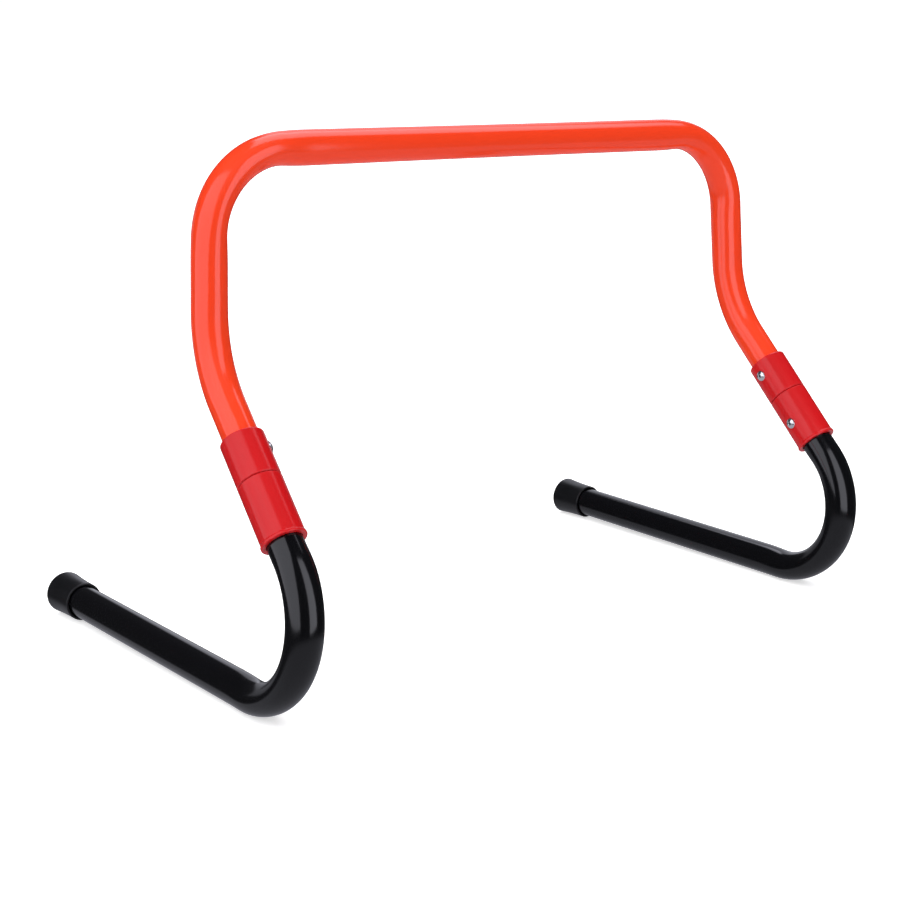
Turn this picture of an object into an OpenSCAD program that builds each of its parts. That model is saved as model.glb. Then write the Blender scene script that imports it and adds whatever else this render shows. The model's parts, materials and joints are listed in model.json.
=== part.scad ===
// Agility hurdle: one bent plastic hoop on two hooked feet.
// Each foot turns half a circle in a riveted two-part socket. Turned back, the bar
// stands at its high setting. Turned the other way, it lies over the feet, lower down.
// Frame: +Z up, +X along the bar, feet running back along +Y.
// The origin is on the floor, under the middle of the hurdle's outline.
// All sizes are in millimetres and all angles in degrees.

/* [Hoop] */
// Width of the hoop at the bar, from arm centre to arm centre
hoop_w = 490.5; // [380:0.5:640]
// Radius of the two top corners, at the tube's centre line
corner_r = 61.5; // [50:0.5:90]
// Angle at which each arm spreads outwards
splay = 2.9; // [0:0.1:6]
// Angle at which the hoop leans back
lean = 3.2; // [0:0.1:6]
// Straight length of each arm, below the corner
arm_l = 46.5; // [20:0.5:200]
// Radius of the knee bend, at the tube's centre line
knee_r = 96; // [60:1:140]
// Angle of the knee bend
knee_angle = 40.5; // [25:0.5:55]
// Straight length of tube between the knee and the socket
shin_l = 27.5; // [10:0.5:80]

/* [Tube] */
// Outer diameter of the hoop and foot tubes
tube_d = 25; // [24:0.5:30]
// Wall thickness of the tubes
tube_wall = 2; // [1.5:0.1:2.5]

/* [Sockets] */
// Length of the upper half of each socket, from the seam to its rim
upper_l = 34; // [32:0.5:60]
// Length of the lower half of each socket, from the seam to its rim
lower_l = 46; // [40:0.5:70]
// Wall thickness of the sockets
socket_wall = 2.95; // [2.6:0.05:4]
// How far the bead at the lower rim stands proud
bead = 0.6; // [0:0.1:1]
// Angle through which each foot turns
foot_travel = 180; // [90:5:180]

/* [Feet] */
// Straight length of tube between the socket and the hook
shank_l = 12.5; // [5:0.5:40]
// Radius of the hook bend, at the tube's centre line
hook_r = 61.5; // [45:0.5:80]
// Length from the end of the hook to the end of the foot
foot_l = 272; // [180:1:360]
// Diameter of the cap's open rim
cap_rim_d = 29.5; // [29:0.5:34]
// Diameter of the cap's base
cap_base_d = 32; // [31:0.5:38]
// Length of the cap
cap_l = 32; // [25:1:45]

/* [Rivets] */
// Diameter of a rivet's head
rivet_head_d = 8.4; // [7.5:0.1:9.5]
// Height of the upper rivets above the seam
upper_rivet_z = 22.4; // [18:0.1:26]
// Depth of the lower rivets below the seam
lower_rivet_z = 25.3; // [25:0.1:33]
// How far the left upper rivet is turned from inwards towards the front
left_rivet_turn = 25; // [0:5:60]

/* [Hidden] */
$fn = 96;
SIDES = ["left", "right"];
SIDE_PIECES = [
    "upper_socket", "lower_socket", "foot_tube", "foot_cap",
    "upper_rivet", "upper_rivet_mandrel", "lower_rivet", "lower_rivet_mandrel",
    "pivot_bolt", "friction_washer", "thrust_washer", "disc_springs", "lock_nut"
];

hoop_orange = [0.96, 0.25, 0.11];
socket_red = [0.81, 0.10, 0.12];
foot_black = [0.05, 0.05, 0.06];
rubber_black = [0.10, 0.10, 0.11];
rivet_silver = [0.80, 0.81, 0.83];
steel_grey = [0.45, 0.47, 0.50];
nylon_white = [0.90, 0.89, 0.85];

far = 100;
tube_r = tube_d / 2;
bore_r = tube_r - tube_wall;
lap = 1;
lap_past = 0.5;
hair = 0.05;

// Sockets: a floor on each side of the seam, and a seat for the tube beyond it.
seat_fit = 0.05;
seat_r = tube_r + seat_fit;
socket_r = seat_r + socket_wall;
seam_half = 0.2;
seam_bevel = 0.35;
upper_floor = 6.2;
lower_floor = 5.2;
tube_gap = 0.3;
upper_rim_r = 1.1;
lower_rim_r = 1.4;

// Travel stop: a lug under the upper floor runs in a groove in the lower one.
lug_out = socket_r - 1.5;
lug_in = lug_out - 3;
lug_angle = 14;
lug_drop = 2.3;
lug_root = 0.5;
groove_drop = 3.2;
groove_gap = 0.2;
stop_gap = 1.5;
lug_side = -90;

// Swivel: a hexagon bolt clamps both floors through washers and disc springs.
bolt_r = 3;
pivot_fit = 0.05;
run_gap = 0.02;
hex_flats = 10;
hex_pocket_flats = 10.2;
hex_pocket = 2;
bolt_head_h = 4;
bolt_end = 18.4;
washer_recess = 1;
friction_r = lug_in - 1;
friction_bore_r = bolt_r + 0.2;
recess_fit = 0.1;
thrust_top = lower_floor + run_gap;
thrust_t = 1.2;
thrust_r = 8;
disc_count = 4;
disc_t = 0.7;
disc_cone = 0.35;
disc_in_r = 3.1;
disc_out_r = 6.25;
disc_pitch = disc_t + disc_cone + run_gap;
disc_top = thrust_top + thrust_t + run_gap;
nut_top = disc_top + disc_count * disc_pitch;
nut_hex_h = 4.5;
nut_h = 6;
nut_collar_r = 4.6;
nut_bore_r = bolt_r + run_gap;

// Blind rivets, measured outwards from the socket's axis.
rivet_r = 2;
rivet_hole_r = 2.05;
rivet_head_r = rivet_head_d / 2;
rivet_edge = 0.3;
rivet_dome = 1.5;
rivet_dome_r = (pow(rivet_head_r, 2) + pow(rivet_dome, 2)) / (2 * rivet_dome);
rivet_top = socket_r + rivet_edge + rivet_dome;
rivet_skirt = 0.8;
bulb_z = bore_r - 1.8;
bulb_section_r = 1.5;
bulb_spread = 1.6;
mandrel_r = 1.1;
mandrel_hole_r = 1.12;
mandrel_sink = 0.7;
mandrel_head_r = 1.7;
mandrel_head_h = 1.6;
mandrel_head_z = bulb_z - bulb_section_r - run_gap - mandrel_head_h;

// Caps: a flared rubber ferrule, thicker at its base.
cap_base_r = cap_base_d / 2;
cap_rim_r = cap_rim_d / 2;
cap_floor = 4;
cap_flare_l = cap_l * 0.45;
cap_swell = cap_base_r - cap_rim_r;
cap_flare_r = (pow(cap_flare_l, 2) + pow(cap_swell, 2)) / (2 * cap_swell);
cap_base_round = 1;
cap_rim_round = 0.5;

// Places along one side of the hoop: back is along +Y, down is along the arm.
bar_half = hoop_w / 2 - corner_r * tan((90 - splay) / 2);
arm_x = bar_half + corner_r * cos(splay);
arm_drop = corner_r * (1 - sin(splay));
knee_fore = knee_r * (1 - cos(knee_angle));
knee_drop = knee_r * sin(knee_angle);
hook_reach = shin_l + upper_l + lower_l + shank_l;

// The foot rises a little, so that the hook and the cap's edge both touch the floor.
side_lean = atan(tan(lean) / cos(splay));
foot_rise = asin((cap_base_r - tube_r) / foot_l);
hook_turn = 90 + knee_angle + side_lean + foot_rise;
foot_tilt = side_lean + foot_rise;

// Centre of the hook bend and end of the foot, in the side's own [back, down] plane.
hook_centre = [
    hook_r * cos(knee_angle) - hook_reach * sin(knee_angle) - knee_fore,
    hook_r * sin(knee_angle) + hook_reach * cos(knee_angle) + knee_drop + arm_l
];
foot_end = [
    hook_centre[0] + hook_r * sin(foot_tilt) + foot_l * cos(foot_tilt),
    hook_centre[1] + hook_r * cos(foot_tilt) - foot_l * sin(foot_tilt)
];

// Height of the bar, and the shift that centres the outline over the origin.
function fall(p) = arm_drop + p[1] * cos(splay);
function stood_back(p) = p[0] * cos(lean) - fall(p) * sin(lean);
function stood_drop(p) = p[0] * sin(lean) + fall(p) * cos(lean);
function spread(across, along) = sqrt(pow(across, 2) + pow(cos(splay) * along, 2));
hook_low = stood_drop(hook_centre) + hook_r * spread(sin(lean), cos(lean));
hook_front = stood_back(hook_centre) - hook_r * spread(cos(lean), sin(lean)) - tube_r;
cap_back = stood_back(foot_end) + cap_base_r * sin(foot_rise);
bar_z = tube_r + hook_low;
stand_back = -(hook_front + cap_back) / 2;

// ---- Places ----

// Stands the hoop up, from a frame with the bar's centre line through the origin.
module stood()
    translate([0, stand_back, bar_z])
        rotate([-lean, 0, 0])
            children();

// Draws a right-hand piece as it is, and a left-hand piece mirrored.
module on_side(side)
    if (side == "left") mirror([1, 0, 0]) children();
    else children();

// Top of the arm, with +Z back up the arm.
module at_arm(side)
    stood()
        on_side(side)
            translate([arm_x, 0, -arm_drop])
                rotate([0, -splay, 0])
                    children();

// Lower end of the knee bend, with +Z back up the tube.
module at_knee(side)
    at_arm(side)
        translate([0, -knee_fore, -arm_l - knee_drop])
            rotate([-knee_angle, 0, 0])
                children();

// Centre of the socket's seam, with +Z up the socket and +X outwards.
module at_seam(side)
    at_knee(side)
        translate([0, 0, -shin_l - upper_l])
            children();

// Far end of the foot, with +Z back along the foot.
module at_foot_end(side)
    at_seam(side)
        translate([0, 0, -lower_l - shank_l])
            past_bend(hook_r, hook_turn)
                translate([0, 0, -foot_l])
                    children();

// Points +Z out of the socket's wall at a height, turned from inwards to the front.
module through_wall(z, turn)
    translate([0, 0, z])
        rotate([0, 0, 180 + turn])
            rotate([0, 90, 0])
                children();

function rivet_turn(side) = side == "left" ? left_rivet_turn : 0;

// ---- Tube shapes ----

// Tube wall's cross-section, with its outer surface and bore proud by a margin.
module tube_section(margin = 0)
    difference() {
        circle(tube_r + margin);
        circle(bore_r - margin);
    }

// Straight tube along Z from one height to another.
module tube_piece(from, to, margin = 0)
    translate([0, 0, from])
        linear_extrude(to - from)
            tube_section(margin);

// Straight tube, from the origin down -Z. Where it meets a bend, it stops just short,
// and a hair-thin sleeve laps over both, so that the whole tube is one solid.
module tube_run(length, bend_above = false, bend_below = false) {
    tube_piece(bend_below ? lap - length : -length, bend_above ? -lap : 0);
    if (bend_above) tube_piece(-2 * lap, lap_past, hair);
    if (bend_below) tube_piece(-length - lap_past, 2 * lap - length, hair);
}

// Bent tube, which leaves the origin down -Z and turns towards +Y.
module tube_bend(radius, turn)
    translate([0, radius, 0])
        rotate([-90, 0, 0])
            rotate([0, 90, 0])
                rotate_extrude(angle = turn)
                    translate([radius, 0])
                        tube_section();

// Moves its children to the far end of such a bend.
module past_bend(radius, turn)
    translate([0, radius, 0])
        rotate([turn, 0, 0])
            translate([0, -radius, 0])
                children();

// The bar, in the hoop's own plane.
module bar()
    translate([bar_half, 0, 0])
        rotate([0, 90, 0])
            tube_run(2 * bar_half, true, true);

// The right-hand top corner, in the hoop's own plane.
module corner()
    translate([bar_half, 0, -corner_r])
        rotate([90, 0, 0])
            rotate([0, 0, splay])
                rotate_extrude(angle = 90 - splay)
                    translate([corner_r, 0])
                        tube_section();

// ---- Turned shapes ----

// Cylinder from one height to another.
module turned(r, from, to)
    translate([0, 0, from])
        cylinder(r = r, h = to - from);

// Flat ring from one height to another.
module ring(inner_r, outer_r, from, to)
    difference() {
        turned(outer_r, from, to);
        turned(inner_r, from - 1, to + 1);
    }

// Part of a ring, centred on an angle about Z.
module ring_sector(inner_r, outer_r, from, to, start, sweep)
    rotate([0, 0, start])
        rotate_extrude(angle = sweep)
            translate([inner_r, from])
                square([outer_r - inner_r, to - from]);

// Hexagon across its flats, from one height to another.
module hexagon(flats, from, to)
    translate([0, 0, from])
        cylinder(r = flats / 2 / cos(30), h = to - from, $fn = 6);

// Hexagon with its corners turned down at both ends.
module turned_hexagon(flats, from, to) {
    corner_r = flats / 2 / cos(30);
    bevel = corner_r - flats / 2;
    intersection() {
        hexagon(flats, from, to);
        rotate_extrude()
            polygon([
                [0, from], [flats / 2, from], [corner_r + bevel, from + bevel],
                [corner_r + bevel, to - bevel], [flats / 2, to], [0, to]
            ]);
    }
}

// Profile corner to cut away, which leaves a round edge. It points out and up.
module edge_cut(corner, radius, up)
    translate([corner[0] - radius, corner[1] - up * radius])
        difference() {
            translate([0, up > 0 ? 0 : -2 * radius])
                square(2 * radius);
            circle(radius);
        }

// One socket half with its floor at the seam and its rim up.
module socket_half(length, floor_top, rim_r, rim_proud)
    rotate_extrude()
        difference() {
            union() {
                translate([0, seam_half])
                    square([socket_r, length - rim_r - seam_half]);
                translate([0, seam_half])
                    square([socket_r + rim_proud - rim_r, length - seam_half]);
                translate([socket_r + rim_proud - rim_r, length - rim_r])
                    circle(rim_r);
            }
            translate([0, floor_top])
                square([seat_r, length]);
            translate([0, -1])
                square([bolt_r + pivot_fit, floor_top + 2]);
            translate([socket_r, seam_half])
                rotate(45)
                    square(seam_bevel * sqrt(2), center = true);
        }

module rivet_hole(z, turn)
    through_wall(z, turn)
        turned(rivet_hole_r, 0, socket_r + 2);

// ---- Pieces ----

// One tube bent into the bar, two corners, two arms and two knees.
module hoop_tube()
    color(hoop_orange)
        difference() {
            union() {
                stood() bar();
                for (side = SIDES) {
                    stood() on_side(side) corner();
                    at_arm(side) tube_run(arm_l, true, true);
                    at_arm(side)
                        translate([0, 0, -arm_l])
                            mirror([0, 1, 0])
                                tube_bend(knee_r, knee_angle);
                    at_knee(side) tube_run(shin_l + upper_l - upper_floor - tube_gap, true);
                }
            }
            for (side = SIDES)
                at_seam(side)
                    rivet_hole(upper_rivet_z, rivet_turn(side));
        }

module upper_socket(side)
    color(socket_red)
        at_seam(side)
            difference() {
                union() {
                    difference() {
                        socket_half(upper_l, upper_floor, upper_rim_r, 0);
                        turned(friction_r + recess_fit, -1, washer_recess);
                    }
                    ring_sector(lug_in, lug_out, -lug_drop, seam_half + lug_root,
                        lug_side - lug_angle / 2, lug_angle);
                }
                hexagon(hex_pocket_flats, upper_floor - hex_pocket, upper_floor + 1);
                rivet_hole(upper_rivet_z, rivet_turn(side));
            }

module lower_socket(side)
    color(socket_red)
        at_seam(side)
            difference() {
                mirror([0, 0, 1])
                    socket_half(lower_l, lower_floor, lower_rim_r, bead);
                ring_sector(lug_in - groove_gap, lug_out + groove_gap, -groove_drop, 1,
                    lug_side - lug_angle / 2 - stop_gap, foot_travel + lug_angle + 2 * stop_gap);
                rivet_hole(-lower_rivet_z, 0);
            }

// One tube bent into a hook, from the socket's floor to the cap's floor.
module foot_tube(side)
    color(foot_black)
        at_seam(side)
            difference() {
                union() {
                    translate([0, 0, -lower_floor - tube_gap])
                        tube_run(lower_l + shank_l - lower_floor - tube_gap, false, true);
                    translate([0, 0, -lower_l - shank_l]) {
                        tube_bend(hook_r, hook_turn);
                        past_bend(hook_r, hook_turn) tube_run(foot_l - cap_floor, true);
                    }
                }
                rivet_hole(-lower_rivet_z, 0);
            }

module foot_cap(side)
    color(rubber_black)
        at_foot_end(side)
            rotate_extrude()
                difference() {
                    square([cap_base_r, cap_l]);
                    translate([cap_rim_r + cap_flare_r, cap_flare_l])
                        circle(cap_flare_r, $fn = 360);
                    translate([cap_rim_r, cap_flare_l])
                        square([cap_swell + 1, cap_l]);
                    translate([0, cap_floor])
                        square([seat_r, cap_l]);
                    edge_cut([cap_base_r, 0], cap_base_round, -1);
                    edge_cut([cap_rim_r, cap_l], cap_rim_round, 1);
                }

// Blind rivet with a domed head shaped to the socket, and its set bulb inside.
module rivet(z, turn)
    color(rivet_silver)
        difference() {
            union() {
                difference() {
                    through_wall(z, turn)
                        rotate_extrude()
                            intersection() {
                                translate([0, rivet_top - rivet_dome_r])
                                    circle(rivet_dome_r);
                                translate([0, socket_r - rivet_skirt])
                                    square([rivet_head_r, rivet_skirt + far]);
                            }
                    turned(socket_r + run_gap, z - far, z + far);
                }
                through_wall(z, turn) {
                    turned(rivet_r, bulb_z, socket_r + rivet_edge);
                    rotate_extrude()
                        translate([bulb_spread, bulb_z])
                            circle(bulb_section_r);
                }
            }
            through_wall(z, turn)
                turned(mandrel_hole_r, 0, rivet_top + 1);
        }

// Broken-off steel pin that stays in the rivet, with its head behind the bulb.
module mandrel(z, turn)
    color(steel_grey)
        through_wall(z, turn) {
            turned(mandrel_r, mandrel_head_z + mandrel_head_h / 2, rivet_top - mandrel_sink);
            turned(mandrel_head_r, mandrel_head_z, mandrel_head_z + mandrel_head_h);
        }

module upper_rivet(side)
    at_seam(side) rivet(upper_rivet_z, rivet_turn(side));

module upper_rivet_mandrel(side)
    at_seam(side) mandrel(upper_rivet_z, rivet_turn(side));

module lower_rivet(side)
    at_seam(side) rivet(-lower_rivet_z, 0);

module lower_rivet_mandrel(side)
    at_seam(side) mandrel(-lower_rivet_z, 0);

// Hexagon bolt along the socket's axis, its head let into the upper floor.
module pivot_bolt(side)
    color(steel_grey)
        at_seam(side) {
            turned_hexagon(hex_flats, upper_floor - hex_pocket,
                upper_floor - hex_pocket + bolt_head_h);
            turned(bolt_r, -bolt_end, upper_floor - hex_pocket + 1);
        }

// Nylon washer between the two floors, which the lower one turns against.
module friction_washer(side)
    color(nylon_white)
        at_seam(side)
            ring(friction_bore_r, friction_r, -seam_half + run_gap, washer_recess);

module thrust_washer(side)
    color(steel_grey)
        at_seam(side)
            ring(disc_in_r, thrust_r, -thrust_top - thrust_t, -thrust_top);

// Disc springs stacked in turn, point to point, which keep the swivel stiff.
module disc_springs(side)
    color(steel_grey)
        at_seam(side)
            for (i = [0 : disc_count - 1])
                translate([0, 0, -disc_top - i * disc_pitch])
                    disc_spring(i % 2 == 0);

// One cone-shaped disc, with its bore at the top or at the bottom.
module disc_spring(bore_up) {
    in_z = bore_up ? 0 : -disc_cone;
    out_z = bore_up ? -disc_cone : 0;
    rotate_extrude()
        polygon([
            [disc_in_r, in_z], [disc_out_r, out_z],
            [disc_out_r, out_z - disc_t], [disc_in_r, in_z - disc_t]
        ]);
}

// Hexagon nut with a round locking collar at its lower end.
module lock_nut(side)
    color(steel_grey)
        at_seam(side)
            difference() {
                union() {
                    turned_hexagon(hex_flats, -nut_top - nut_hex_h, -nut_top);
                    turned(nut_collar_r, -nut_top - nut_h, -nut_top - 1);
                }
                turned(nut_bore_r, -nut_top - nut_h - 1, -nut_top + 1);
            }

hoop_tube();
for (side = SIDES) {
    upper_socket(side);
    lower_socket(side);
    foot_tube(side);
    foot_cap(side);
    upper_rivet(side);
    upper_rivet_mandrel(side);
    lower_rivet(side);
    lower_rivet_mandrel(side);
    pivot_bolt(side);
    friction_washer(side);
    thrust_washer(side);
    disc_springs(side);
    lock_nut(side);
}
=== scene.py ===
"""Agility hurdle: a bent plastic hoop on two hooked feet, which turn in riveted sockets.

Run as a script, it dresses the packed model: it bends the tubes, moulds the sockets and
caps, sets the rivets, finishes the swivels' parts and lights a small studio around them.
"""
import json
import math

import bmesh
import bpy
import numpy as np
from bpy.props import FloatProperty, FloatVectorProperty, PointerProperty
from mathutils import Matrix, Vector, noise


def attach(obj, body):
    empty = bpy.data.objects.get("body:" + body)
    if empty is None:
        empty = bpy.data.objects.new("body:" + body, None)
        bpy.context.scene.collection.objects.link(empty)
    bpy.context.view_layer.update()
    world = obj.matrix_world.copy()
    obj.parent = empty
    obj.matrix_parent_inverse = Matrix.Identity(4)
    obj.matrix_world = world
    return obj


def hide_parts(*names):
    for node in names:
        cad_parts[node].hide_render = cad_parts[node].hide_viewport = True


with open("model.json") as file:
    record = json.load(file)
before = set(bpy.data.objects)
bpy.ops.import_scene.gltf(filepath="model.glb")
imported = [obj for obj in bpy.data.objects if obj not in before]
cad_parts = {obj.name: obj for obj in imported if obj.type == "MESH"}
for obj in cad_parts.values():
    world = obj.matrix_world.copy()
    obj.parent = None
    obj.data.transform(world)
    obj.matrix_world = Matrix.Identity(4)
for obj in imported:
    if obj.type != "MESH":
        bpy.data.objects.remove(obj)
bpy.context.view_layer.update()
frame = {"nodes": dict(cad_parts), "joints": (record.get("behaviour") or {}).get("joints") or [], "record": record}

bl_info = {
    "name": "Agility Hurdle",
    "version": (1, 0, 0),
    "blender": (4, 5, 0),
    "location": "View3D > Sidebar > Hurdle",
    "description": "Builds a training hurdle with two turning feet, and a studio for it",
    "category": "Object",
}

MM = 0.001
SIDES = ("left", "right")
MIRROR = Matrix.Diagonal((-1, 1, 1, 1))

# Fineness of the tubes' meshes, how gradually a bend's oval begins, and sharp edges.
TUBE_SIDES = 80
RUN_STEP = 6 * MM
BEND_STEP = 2 * MM
BEND_RAMP = 34 * MM
SHARP = math.radians(38)


# ---- Places, all read from the frame ----

def mount(name):
    """Place and direction of one of the packed model's mounts."""
    found = next(m for m in frame["record"]["mounts"] if m["name"].endswith(name))
    return Vector(found["pos_m"]), Vector(found["axis"])


def right_socket_place():
    """Right socket's own frame: origin at the seam, +Z up the socket, +X outwards."""
    joint = next(j for j in frame["joints"] if j["name"] == "right_swivel")
    seam = Vector(joint["pos_m"])
    up = -Vector(joint["axis"]).normalized()
    along_foot = mount("right_cap_face")[1]
    outwards = along_foot.cross(up).normalized()
    place = Matrix((outwards, up.cross(outwards), up)).transposed().to_4x4()
    place.translation = seam
    return place


def right_cap_place():
    """Right foot's end: origin at the cap's base, +Z back along the foot."""
    base, outwards = mount("right_cap_face")
    along = -outwards.normalized()
    across = right_socket_place().to_3x3().col[0]
    across = (across - along * across.dot(along)).normalized()
    place = Matrix((across, along.cross(across), along)).transposed().to_4x4()
    place.translation = base
    return place


def on_side(side, place):
    """A right-hand place or point as it is, or mirrored for the left."""
    return place if side == "right" else MIRROR @ place


def crossing(a, along_a, b, along_b):
    """Where two lines that lie in one plane cross."""
    normal = along_a.cross(along_b)
    return a + along_a * ((b - a).cross(along_b).dot(normal) / normal.length_squared)


# ---- Sizes and finishes ----

def size(name, description, default, low, high):
    """A length that a user may change, given in millimetres and kept in metres."""
    return FloatProperty(name=name, description=description, default=default * MM,
                         min=low * MM, max=high * MM, unit="LENGTH", precision=4)


def share(name, description, default, low=0.0, high=1.0):
    """A plain factor that a user may change."""
    return FloatProperty(name=name, description=description, default=default,
                         min=low, max=high, subtype="FACTOR")


def colour(name, description, default):
    """A linear colour that a user may change."""
    return FloatVectorProperty(name=name, description=description, default=default,
                               min=0.0, max=1.0, size=3, subtype="COLOR")


class HurdleTubes(bpy.types.PropertyGroup):
    """Sizes of the three bent tubes."""
    diameter: size("Diameter", "Outer diameter of the tubes", 25, 20, 32)
    wall: size("Wall", "Wall thickness of the tubes", 2, 1, 4)
    hoop_width: size("Hoop Width", "Width of the bar between the arms' centre lines",
                     490.5, 300, 700)
    corner_radius: size("Corner Radius", "Radius of the bends beside the bar", 61.5, 40, 100)
    knee_radius: size("Knee Radius", "Radius of the bends above the sockets", 96, 60, 140)
    knee_turn: FloatProperty(name="Knee Angle", description="Angle of the knee bends",
                             default=math.radians(40.5), subtype="ANGLE")
    shin: size("Shin", "Straight tube between a knee and its socket", 27.5, 10, 80)
    hook_radius: size("Hook Radius", "Radius of the bends that rest on the floor", 61.5, 45, 80)
    corner_flat: share("Corner Flattening", "How far a corner is thinned by bending", 0.09)
    corner_wide: share("Corner Widening", "How far a corner is widened by bending", 0.09)
    hook_flat: share("Hook Flattening", "How far a hook is thinned by bending", 0.07)
    hook_wide: share("Hook Widening", "How far a hook is widened by bending", 0.07)
    knee_flat: share("Knee Flattening", "How far a knee is thinned by bending", 0.03)
    knee_wide: share("Knee Widening", "How far a knee is widened by bending", 0.025)
    bar_draw: share("Bar Draw", "How far the middle of the bar is drawn thinner", 0.025)


class HurdleFittings(bpy.types.PropertyGroup):
    """Sizes of the sockets, caps and rivets."""
    upper_length: size("Upper Half", "Length of a socket's upper half", 34, 25, 60)
    lower_length: size("Lower Half", "Length of a socket's lower half", 46, 35, 70)
    socket_wall: size("Socket Wall", "Wall thickness of the sockets", 2.95, 2, 4)
    bead: size("Bead", "How far the bead at a socket's lower rim stands proud", 0.6, 0, 1)
    cap_length: size("Cap Length", "Length of a foot's cap", 32, 25, 45)
    cap_base: size("Cap Base", "Diameter of a cap's base", 32, 30, 38)
    cap_rim: size("Cap Rim", "Diameter of a cap's open rim", 29.5, 29, 34)
    rivet_head: size("Rivet Head", "Diameter of a rivet's head", 8.4, 7, 10)
    upper_rivet: size("Upper Rivet", "Height of the upper rivets above the seam", 22.4, 15, 30)
    lower_rivet: size("Lower Rivet", "Depth of the lower rivets below the seam", 25.3, 15, 35)
    rivet_turn: FloatProperty(name="Left Rivet Turn", subtype="ANGLE",
                              description="How far the left upper rivet is turned forwards",
                              default=math.radians(25))


class HurdleFinishes(bpy.types.PropertyGroup):
    """Colours and gloss of the materials."""
    hoop: colour("Hoop Plastic", "Orange of the hoop", (0.90, 0.052, 0.012))
    socket: colour("Socket Plastic", "Red of the sockets", (0.57, 0.0062, 0.0086))
    foot: colour("Foot Plastic", "Black of the feet", (0.0019, 0.0019, 0.0026))
    cap: colour("Cap Rubber", "Black of the caps", (0.0036, 0.0036, 0.0044))
    rivet: colour("Rivet Aluminium", "Bright metal of the rivets", (0.86, 0.87, 0.89))
    # The pins' colour is far darker than bare steel: painted shade of the rivets' bores.
    pin: colour("Rivet Pins", "Dark steel of the broken pins", (0.045, 0.050, 0.066))
    steel: colour("Plated Steel", "Grey of the bolts, nuts and springs", (0.45, 0.46, 0.48))
    nylon: colour("Nylon", "Natural nylon of the friction washers", (0.80, 0.78, 0.72))
    tube_gloss: share("Tube Roughness", "Roughness of the bent tubes", 0.13)
    socket_gloss: share("Socket Roughness", "Roughness of the sockets", 0.19)
    cap_gloss: share("Cap Roughness", "Roughness of the caps", 0.33)


class HurdleStudio(bpy.types.PropertyGroup):
    """The floor and the light around the hurdle."""
    floor: colour("Floor", "Pale colour of the floor", (0.93, 0.93, 0.93))
    key: FloatProperty(name="Key Light", description="Strength of the light from above",
                       default=3.1, min=0.0)
    fill: FloatProperty(name="Fill Light", description="Strength of the light from the front",
                        default=0.4, min=0.0)
    lens: FloatProperty(name="Lens", description="Focal length of the camera",
                        default=72.87, min=10.0, unit="CAMERA")


# ---- Centre lines ----

class CentreLine:
    """Straight runs joined by round bends, as close-set places with their headings."""

    def __init__(self, corners, radii, run_step, bend_step):
        self.places = []
        self.headings = []
        self.bends = []
        corners = [Vector(c) for c in corners]
        start = corners[0]
        for before, corner, after, radius in zip(corners, corners[1:], corners[2:], radii):
            inwards = (corner - before).normalized()
            outwards = (after - corner).normalized()
            turn = inwards.angle(outwards)
            room = min((corner - start).length, (after - corner).length / 2)
            if turn > 1e-6:
                radius = min(radius, 0.98 * room / math.tan(turn / 2))
            cut = radius * math.tan(turn / 2)
            self._run(start, corner - inwards * cut, run_step)
            self._bend(corner - inwards * cut, inwards, outwards, radius, turn, bend_step)
            start = corner + outwards * cut
        self._run(start, corners[-1], run_step)
        self.places.append(np.array(corners[-1]))
        self.headings.append(self.headings[-1])
        self.places = np.array(self.places)
        self.headings = np.array(self.headings)
        steps = np.linalg.norm(np.diff(self.places, axis=0), axis=1)
        self.along = np.concatenate([[0.0], np.cumsum(steps)])

    def _run(self, start, end, step):
        """Places from a start up to, but not including, an end."""
        length = (end - start).length
        if length < 1e-9:
            return
        heading = (end - start) / length
        count = max(1, round(length / step))
        for i in range(count):
            self.places.append(np.array(start + heading * (length * i / count)))
            self.headings.append(np.array(heading))

    def _bend(self, start, inwards, outwards, radius, turn, step):
        """Places round a bend, and what its section needs to know about it."""
        if radius <= 0 or turn < 1e-6:
            self.places.append(np.array(start))
            self.headings.append(np.array(inwards))
            return
        side = (outwards - inwards * inwards.dot(outwards)).normalized()
        centre = start + side * radius
        count = max(3, round(radius * turn / step))
        first = len(self.places)
        for i in range(count):
            angle = turn * i / count
            self.places.append(np.array(
                centre - side * radius * math.cos(angle) + inwards * radius * math.sin(angle)))
            self.headings.append(np.array(
                inwards * math.cos(angle) + side * math.sin(angle)))
        self.bends.append((first, len(self.places), np.array(inwards.cross(side))))

    def share_of_bend(self, bend, ramp):
        """How fully each place belongs to a bend: 1 inside it, fading out over a ramp."""
        first, last, _ = bend
        start = self.along[first]
        end = self.along[min(last, len(self.along) - 1)]
        rise = np.clip((self.along - start) / ramp + 0.5, 0, 1)
        fall = np.clip((end - self.along) / ramp + 0.5, 0, 1)
        full = np.minimum(rise, fall)
        return full * full * (3 - 2 * full)


def carried_frames(line):
    """Two directions across each place, carried along the line without twisting."""
    first = np.array([0.0, 0.0, 1.0])
    if abs(line.headings[0] @ first) > 0.9:
        first = np.array([1.0, 0.0, 0.0])
    across = []
    for heading in line.headings:
        first = first - heading * (first @ heading)
        first = first / np.linalg.norm(first)
        across.append(first)
    across = np.array(across)
    return across, np.cross(line.headings, across)


# ---- Meshes ----

def grid_faces(rows, columns, first=0, flip=False):
    """Four-sided faces between rings that close on themselves."""
    faces = []
    for row in range(rows - 1):
        for column in range(columns):
            beside = (column + 1) % columns
            face = [row * columns + column, row * columns + beside,
                    (row + 1) * columns + beside, (row + 1) * columns + column]
            faces.append([first + i for i in (reversed(face) if flip else face)])
    return faces


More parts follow.
